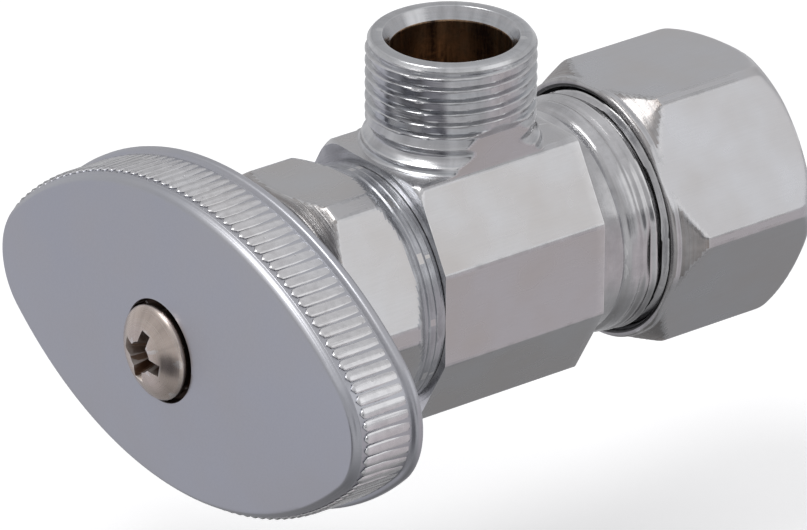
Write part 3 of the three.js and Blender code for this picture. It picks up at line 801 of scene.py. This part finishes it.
def bump(tree, shader, height, distance, strength=1.0):
    node = add(tree, "ShaderNodeBump", {"Height": height})
    node.inputs["Distance"].default_value = distance
    node.inputs["Strength"].default_value = strength
    tree.links.new(node.outputs[0], shader.inputs["Normal"])


OUTLET_TURN = (0.0, math.radians(90), 0.0)      # lays the outlet's axis along X for the turning marks


def turned_metal(name, colour, tint, roughness, fineness=6.0, depth=0.02, streaks=1.0, turn=(0.0, 0.0, 0.0),
                 tint_share=0.35):
    """Plated metal straight from the lathe: fine rings and a tint in the grooves, with painted dark
    reflection streaks along the axis and a painted highlight on convex edges.
    """
    material, tree, shader = new_material(name, 1.0, roughness)
    place = place_in_mm(tree, turn)
    marks = use_group(tree, "turning", place, Fineness=fineness, Streaks=streaks)
    wear_and_highlight = use_group(tree, "wear_and_highlight", place, Reach=0.03, Pits=0.4)
    grooves = spread(tree, marks["Height"], 0.45, 0.75, 1.0, 0.0)
    tinted = mix_colour(tree, calc(tree, "MULTIPLY", grooves, tint_share), colour, tint)
    # painted reflection: the colour darkens along the streaks
    painted_reflection_mix = mix_colour(tree, calc(tree, "MULTIPLY", marks["Painted_Reflection"], 0.35), tinted,
                          tuple(c * 0.55 for c in colour[:3]) + (1.0,))
    # painted highlight: the colour is brightened towards white on convex edges
    bright = mix_colour(tree, calc(tree, "MULTIPLY", wear_and_highlight["Edge"], 0.5), painted_reflection_mix, (0.92, 0.92, 0.92, 1.0))
    tree.links.new(bright, shader.inputs["Base Color"])
    rough = calc(tree, "ADD", spread(tree, marks["Height"], 0.4, 0.9, roughness - 0.06, roughness + 0.1),
                 calc(tree, "MULTIPLY", wear_and_highlight["Pit"], 0.2))
    tree.links.new(rough, shader.inputs["Roughness"])
    bump(tree, shader, marks["Height"], depth * MM)
    return material


def flat_metal(name, colour, warm, roughness, fineness=9.0, depth=0.004, painted_edge_highlight=0.6):
    """Plated flats of drawn bar: faint lines along the bar, cloudy patches, pits and a painted highlight on
    polished convex edges.
    """
    material, tree, shader = new_material(name, 1.0, roughness)
    place = place_in_mm(tree)
    lines = use_group(tree, "brushing", place, Fineness=fineness)
    wear_and_highlight = use_group(tree, "wear_and_highlight", place, Reach=0.025, Pits=1.0)
    cloudy = mix_colour(tree, lines["Patch"], colour, warm)
    lined = mix_colour(tree, spread(tree, lines["Height"], 0.35, 0.75, 0.0, 0.18), cloudy,
                       tuple(c * 0.75 for c in colour[:3]) + (1.0,))
    # painted highlight: the colour is brightened towards white on convex edges
    bright = mix_colour(tree, calc(tree, "MULTIPLY", wear_and_highlight["Edge"], painted_edge_highlight), lined, (0.95, 0.95, 0.96, 1.0))
    tree.links.new(bright, shader.inputs["Base Color"])
    rough = calc(tree, "ADD", spread(tree, lines["Patch"], 0.0, 1.0, roughness - 0.04, roughness + 0.05),
                 calc(tree, "MULTIPLY", wear_and_highlight["Scratch"], 0.04))
    tree.links.new(rough, shader.inputs["Roughness"])
    height = calc(tree, "SUBTRACT", lines["Height"], calc(tree, "MULTIPLY", wear_and_highlight["Pit"], 0.8))
    bump(tree, shader, height, depth * MM)
    return material


def bore_metal(name, bright, dark, roughness, turn):
    """Bare brass in a drilled hole: mottled brown with dark streaks that run along the hole."""
    material, tree, shader = new_material(name, 1.0, roughness)
    place = place_in_mm(tree, turn)
    drawn = add(tree, "ShaderNodeMapping", {"Vector": place, "Scale": (0.14, 1.0, 1.0)}).outputs[0]
    streaks = noise(tree, drawn, 0.75, 4.0, 0.6)
    mottle = noise(tree, place, 0.9, 5.0, 0.7)
    both = calc(tree, "ADD", calc(tree, "MULTIPLY", streaks, 0.65), calc(tree, "MULTIPLY", mottle, 0.35))
    mottled = mix_colour(tree, spread(tree, both, 0.42, 0.62), dark, bright)
    tree.links.new(mottled, shader.inputs["Base Color"])
    rough = spread(tree, mottle, 0.3, 0.7, roughness + 0.12, roughness - 0.08)
    tree.links.new(rough, shader.inputs["Roughness"])
    bump(tree, shader, both, 0.05 * MM)
    return material


def soft_material(name, colour, roughness, grain, depth):
    """Moulded rubber or nylon: fine grain, slight mottling and dull rubbed patches."""
    material, tree, shader = new_material(name, 0.0, roughness)
    place = place_in_mm(tree)
    grains = noise(tree, place, grain, 4.0, 0.6)
    mottle = noise(tree, place, grain / 8, 2.0, 0.5)
    paler = tuple(min(1.0, c * 1.5 + 0.02) for c in colour[:3]) + (1.0,)
    mottled = mix_colour(tree, spread(tree, mottle, 0.3, 0.7, 0.0, 0.5), colour, paler)
    tree.links.new(mottled, shader.inputs["Base Color"])
    rough = spread(tree, grains, 0.3, 0.7, roughness - 0.08, roughness + 0.08)
    tree.links.new(rough, shader.inputs["Roughness"])
    bump(tree, shader, grains, depth * MM)
    return material


CHROME = (0.66, 0.66, 0.675, 1.0)
WARM_CHROME = (0.64, 0.615, 0.60, 1.0)
BROWN = (0.27, 0.20, 0.16, 1.0)
chrome_flats = flat_metal("chrome_flats", CHROME, WARM_CHROME, 0.27)
chrome_turned = turned_metal("chrome_turned", CHROME, WARM_CHROME, 0.17)
chrome_outlet = turned_metal("chrome_outlet", CHROME, (0.45, 0.52, 0.58, 1.0), 0.14,
                             fineness=4.0, turn=OUTLET_TURN)
# painted reflection: stronger dark streaks on the nut cone and the collar below
chrome_nut_cone = turned_metal("chrome_nut_cone", (0.50, 0.49, 0.49, 1.0), BROWN, 0.2,
                               fineness=6.0, depth=0.05, streaks=1.8, tint_share=0.6)
chrome_collar = turned_metal("chrome_collar", (0.56, 0.57, 0.60, 1.0), (0.30, 0.31, 0.34, 1.0), 0.16,
                             9.0, 0.05, streaks=1.6, tint_share=0.6)
nut_flats = flat_metal("nut_flats", (0.68, 0.685, 0.71, 1.0), (0.66, 0.645, 0.645, 1.0), 0.3, fineness=11.0)
handle_satin = flat_metal("handle_satin", (0.56, 0.57, 0.615, 1.0), (0.585, 0.585, 0.615, 1.0), 0.36,
                          5.0, 0.003, painted_edge_highlight=0.0)
rib_chrome = flat_metal("rib_chrome", (0.66, 0.66, 0.69, 1.0), (0.6, 0.58, 0.58, 1.0), 0.2, 3.0, 0.03)
nickel_screw = turned_metal("nickel_screw", (0.72, 0.62, 0.56, 1.0), (0.55, 0.45, 0.38, 1.0), 0.24,
                            3.0, 0.006)
raw_bore = bore_metal("raw_brass_bore", (0.50, 0.33, 0.20, 1.0), (0.07, 0.045, 0.035, 1.0), 0.34, OUTLET_TURN)
raw_socket = turned_metal("raw_brass_socket", (0.62, 0.45, 0.26, 1.0), (0.3, 0.18, 0.1, 1.0), 0.3, 5.0, 0.03,
                          tint_share=0.5)
brass = turned_metal("machined_brass", (0.72, 0.54, 0.28, 1.0), (0.5, 0.33, 0.14, 1.0), 0.27, 6.0, 0.02)
# Near-black brown in the handle's screw recess: some dirt, and painted shade where the recess lies in shadow
# under the screw head.
recess_dirt_and_painted_shade = turned_metal("recess_dirt_and_painted_shade", (0.10, 0.07, 0.055, 1.0), (0.03, 0.025, 0.02, 1.0), 0.5,
                            4.0, 0.02)
# Near-black metal on the walls inside the nuts' bores: painted shade where the threads lie hidden in shadow.
bore_painted_shade = turned_metal("bore_painted_shade", (0.10, 0.10, 0.10, 1.0), (0.04, 0.035, 0.03, 1.0), 0.42,
                            5.0, 0.02)
# Dark brown for the walls and floor of the screw's cross recess: painted shade.
cross_recess_painted_shade = turned_metal("cross_recess_painted_shade", (0.30, 0.21, 0.16, 1.0), (0.10, 0.07, 0.05, 1.0), 0.4, 4.0, 0.02)
black_rubber = soft_material("black_rubber", (0.025, 0.025, 0.027, 1.0), 0.72, 9.0, 0.02)
cream_nylon = soft_material("cream_nylon", (0.74, 0.7, 0.58, 1.0), 0.5, 6.0, 0.01)


def paint(made, default, rules):
    """Gives each face the first finish whose rule takes its centre and normal, or the default."""
    centres, normals = face_table(made)
    made.data.materials.clear()
    made.data.materials.append(default)
    index = np.zeros(len(centres), int)
    free = np.ones(len(centres), bool)
    for number, (material, rule) in enumerate(rules, 1):
        made.data.materials.append(material)
        taken = rule(centres, normals) & free
        index[taken] = number
        free &= ~taken
    made.data.polygons.foreach_set("material_index", index.astype(np.int32))


def on_flats(faces):
    """True on faces that lie on one of the section's flats."""
    def rule(_, normals):
        match = np.zeros(len(normals), bool)
        for facing, _ in faces:
            match |= normals[:, 1] * math.cos(facing) + normals[:, 2] * math.sin(facing) > 0.9995
        return match
    return rule


def off_inlet_axis(points):
    return np.hypot(points[:, 1], points[:, 2])


def off_outlet_axis(points):
    return np.hypot(points[:, 0], points[:, 1])


def inward(centres, normals):
    """True on the walls of bores along the inlet axis."""
    return centres[:, 1] * normals[:, 1] + centres[:, 2] * normals[:, 2] < -0.5


body = make_body()
paint(body, chrome_turned, [
    (raw_bore, lambda c, n: (off_outlet_axis(c) < OUTLET_SOCKET_RADIUS + 0.25) & (c[:, 2] > 5)
        & (c[:, 2] < OUTLET_RIM_Z - 0.9)),
    (chrome_outlet, lambda c, n: (c[:, 2] > BAR_ACROSS_FLATS / 2 + 0.02)
        & (np.abs(np.abs(n[:, 1]) - 1) > 0.01)),
    (chrome_flats, lambda c, n: (c[:, 0] < BAR_BACK_X + 0.01) & (np.abs(n[:, 0]) < 0.02)
        & (on_flats(BODY_FACES)(c, n) | (c[:, 2] > 10) & (np.abs(n[:, 1]) > 0.98))),
    (raw_socket, lambda c, n: (off_inlet_axis(c) < PIPE_SOCKET_RADIUS + 0.5) & (c[:, 0] > BAR_FRONT_X)
        & (off_outlet_axis(c) > 3) & (c[:, 2] < 10)),
])
to_row(body)

packing_nut = make_packing_nut()
NUT_FACES = hexagon_faces(PACKING_NUT_ACROSS_FLATS, 1.5)
paint(packing_nut, chrome_turned, [
    # painted shade on the walls of the bore
    (bore_painted_shade, inward),
    (chrome_flats, on_flats(NUT_FACES)),
    (chrome_collar, lambda c, n: (c[:, 0] > -12.3) & (off_inlet_axis(c) > 9)),
    (chrome_nut_cone, lambda c, n: n[:, 0] < -0.3),
])
to_row(packing_nut, PACKING_NUT_ROLL)

compression_nut = make_compression_nut()
paint(compression_nut, chrome_turned, [
    # painted shade on the walls of the bore
    (bore_painted_shade, inward),
    (nut_flats, on_flats(hexagon_faces(NUT_ACROSS_FLATS, 0.83))),
    (nut_flats, lambda c, n: c[:, 0] > 26.0),
    (chrome_nut_cone, lambda c, n: n[:, 0] < -0.3),
])
to_row(compression_nut, NUT_ROLL)

handle = make_handle()
paint(handle, handle_satin, [
    # the recess round the screw and the face ring next to it: dirt and painted shade
    (recess_dirt_and_painted_shade, lambda c, n: (off_inlet_axis(c) < 4.42) & (c[:, 0] < -26.5)
        & (c[:, 0] > handle_low.x + 0.1)),
])
to_row(handle, HANDLE_ROLL)
grip_ribs = make_grip_ribs(rib_chrome)
to_row(grip_ribs, HANDLE_ROLL)
handle_screw = make_handle_screw()
paint(handle_screw, nickel_screw, [
    # painted shade on the walls and floor of the cross recess
    (cross_recess_painted_shade, lambda c, n: (off_inlet_axis(c) < 2.75) & (n[:, 0] > -0.72)
        & (c[:, 0] < screw_low.x + 2.6)),
    (cross_recess_painted_shade, lambda c, n: (off_inlet_axis(c) < 1.6) & (c[:, 0] > screw_low.x + 1.0)
        & (c[:, 0] < screw_low.x + 2.8)),
])
to_row(handle_screw, HANDLE_ROLL)

for piece, ridden, node, finish in [
        (body, "body", "valve_body", "body_chrome"), (packing_nut, "body", "packing_nut", "body_chrome"),
        (compression_nut, "compression_nut", "compression_nut", "nut_chrome"),
        (handle, "stem", "handle", "handle_chrome"), (grip_ribs, "stem", None, "handle_chrome"),
        (handle_screw, "stem", "handle_screw", "screw_nickel")]:
    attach(piece, ridden)
    if node:
        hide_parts(node)

for node, finish in {"packing_washer": brass, "stem_packing": black_rubber, "friction_ring": cream_nylon,
                     "stem": brass, "seat_washer": black_rubber, "seat_washer_screw": brass,
                     "ferrule": brass}.items():
    for material_slot in frame["nodes"][node].material_slots:
        material_slot.material = finish


# ---- floor, light and camera ----
def make_floor():
    """A pale floor below the sweep of the handle."""
    mesh = bpy.data.meshes.new("floor")
    reach, height = 4.0, -0.030
    corners = [(reach * x, reach * y, height) for x, y in ((-1, -1), (1, -1), (1, 1), (-1, 1))]
    mesh.from_pydata(corners, [], [(0, 1, 2, 3)])
    floor = make_object("floor", mesh)
    material, _, shader = new_material("pale_floor", 0.0, 0.9)
    shader.inputs["Base Color"].default_value = (0.95, 0.95, 0.95, 1.0)
    shader.inputs["Specular IOR Level"].default_value = 0.0
    shader.inputs["Emission Color"].default_value = (1.0, 1.0, 1.0, 1.0)
    shader.inputs["Emission Strength"].default_value = 0.35
    mesh.materials.append(material)
    floor.visible_glossy = False


# Direction, cosines inside which a box is full and outside which it is gone, and colour.
SOFT_BOXES = [
    ((0.55, -0.73, 0.40), 0.98, 0.72, (0.54, 0.54, 0.55)),
    ((-0.55, 0.2, 0.9), 0.985, 0.93, (1.2, 1.2, 1.2)),
    ((0.62, -0.68, -0.40), 0.97, 0.80, (0.56, 0.525, 0.545)),
    ((-0.55, 0.71, -0.43), 0.95, 0.80, (0.58, 0.58, 0.63)),
    ((-0.92, -0.12, -0.38), 0.985, 0.93, (0.05, 0.05, 0.06)),
    ((-0.1, -0.98, 0.1), 0.99, 0.97, (0.12, 0.12, 0.13)),
]


def glow(tree, direction, way, inner, outer):
    """1 near a direction of the sky, falling to 0 outside it."""
    facing = add(tree, "ShaderNodeVectorMath", [direction, Vector(way).normalized()], operation="DOT_PRODUCT")
    node = add(tree, "ShaderNodeMapRange", [facing.outputs["Value"], outer, inner, 0.0, 1.0])
    node.interpolation_type = "SMOOTHSTEP"
    return node.outputs[0]


def make_world():
    """Surroundings for the chrome to reflect: a pale room with soft boxes and a few dark screens."""
    world = bpy.data.worlds.new("studio")
    bpy.context.scene.world = world
    world.use_nodes = True
    tree = world.node_tree
    background = tree.nodes["Background"]
    direction = add(tree, "ShaderNodeTexCoord").outputs["Generated"]
    parts = add(tree, "ShaderNodeSeparateXYZ", [direction]).outputs
    ramp = add(tree, "ShaderNodeValToRGB", [spread(tree, parts[2], -1.0, 1.0)])
    stops = [(0.0, 0.20), (0.10, 0.34), (0.28, 0.56), (0.47, 0.62), (0.55, 0.60), (0.72, 0.50), (1.0, 0.70)]
    while len(ramp.color_ramp.elements) < len(stops):
        ramp.color_ramp.elements.new(0.5)
    for element, (place, value) in zip(ramp.color_ramp.elements, stops):
        element.position = place
        element.color = (value, value, value * 1.02, 1.0)
    light = ramp.outputs[0]
    for way, inner, outer, colour in SOFT_BOXES:
        light = mix_colour(tree, glow(tree, direction, way, inner, outer), light, (*colour, 1.0))
    around = calc(tree, "ARCTAN2", parts[1], parts[0])
    turned = add(tree, "ShaderNodeCombineXYZ", [calc(tree, "MULTIPLY", around, 2.2), 0.0, 0.0]).outputs[0]
    shade = spread(tree, noise(tree, turned, 1.0, 2.0, 0.6), 0.35, 0.65, 0.78, 1.12)
    grey = add(tree, "ShaderNodeCombineXYZ", [shade] * 3).outputs[0]
    scaled = add(tree, "ShaderNodeVectorMath", [light, grey], operation="MULTIPLY").outputs[0]
    seen = add(tree, "ShaderNodeLightPath").outputs["Is Camera Ray"]
    tree.links.new(mix_colour(tree, seen, scaled, (1.0, 1.0, 1.0, 1.0)), background.inputs["Color"])
    background.inputs["Strength"].default_value = 1.0


def area_light(name, place, size, power):
    data = bpy.data.lights.new(name, "AREA")
    data.shape = "RECTANGLE"
    data.size, data.size_y = size
    data.energy = power
    lamp = bpy.data.objects.new(name, data)
    bpy.context.scene.collection.objects.link(lamp)
    lamp.location = place
    lamp.rotation_mode = "QUATERNION"
    lamp.rotation_quaternion = Vector(place).to_track_quat("Z", "Y")


def make_camera():
    """A long lens, a little above the valve and to the left of its handle."""
    azimuth, elevation, roll = math.radians(-37.774), math.radians(25.727), math.radians(0.288)
    distance, right_shift, up_shift = 759.2, -3.847, -0.869
    back = Vector((math.sin(azimuth) * math.cos(elevation), -math.cos(azimuth) * math.cos(elevation),
                   math.sin(elevation)))
    level = Vector((math.cos(azimuth), math.sin(azimuth), 0))
    upright = back.cross(level)
    right = math.cos(roll) * level + math.sin(roll) * upright
    up = -math.sin(roll) * level + math.cos(roll) * upright
    data = bpy.data.cameras.new("camera")
    data.sensor_width = 36.0
    data.lens = 406.4
    data.clip_start, data.clip_end = 0.01, 20.0
    camera = bpy.data.objects.new("camera", data)
    bpy.context.scene.collection.objects.link(camera)
    axes = Matrix((right, up, back)).transposed().to_4x4()
    place = port_cross + (right * right_shift + up * up_shift + back * distance) * MM
    camera.matrix_world = Matrix.Translation(place) @ axes
    bpy.context.scene.camera = camera


make_floor()
make_world()
area_light("key", (0.35, -0.55, 0.40), (0.50, 0.50), 0.3)
area_light("top", (-0.25, 0.10, 0.60), (0.30, 0.20), 0.9)
make_camera()
bpy.context.scene.view_settings.view_transform = "Standard"
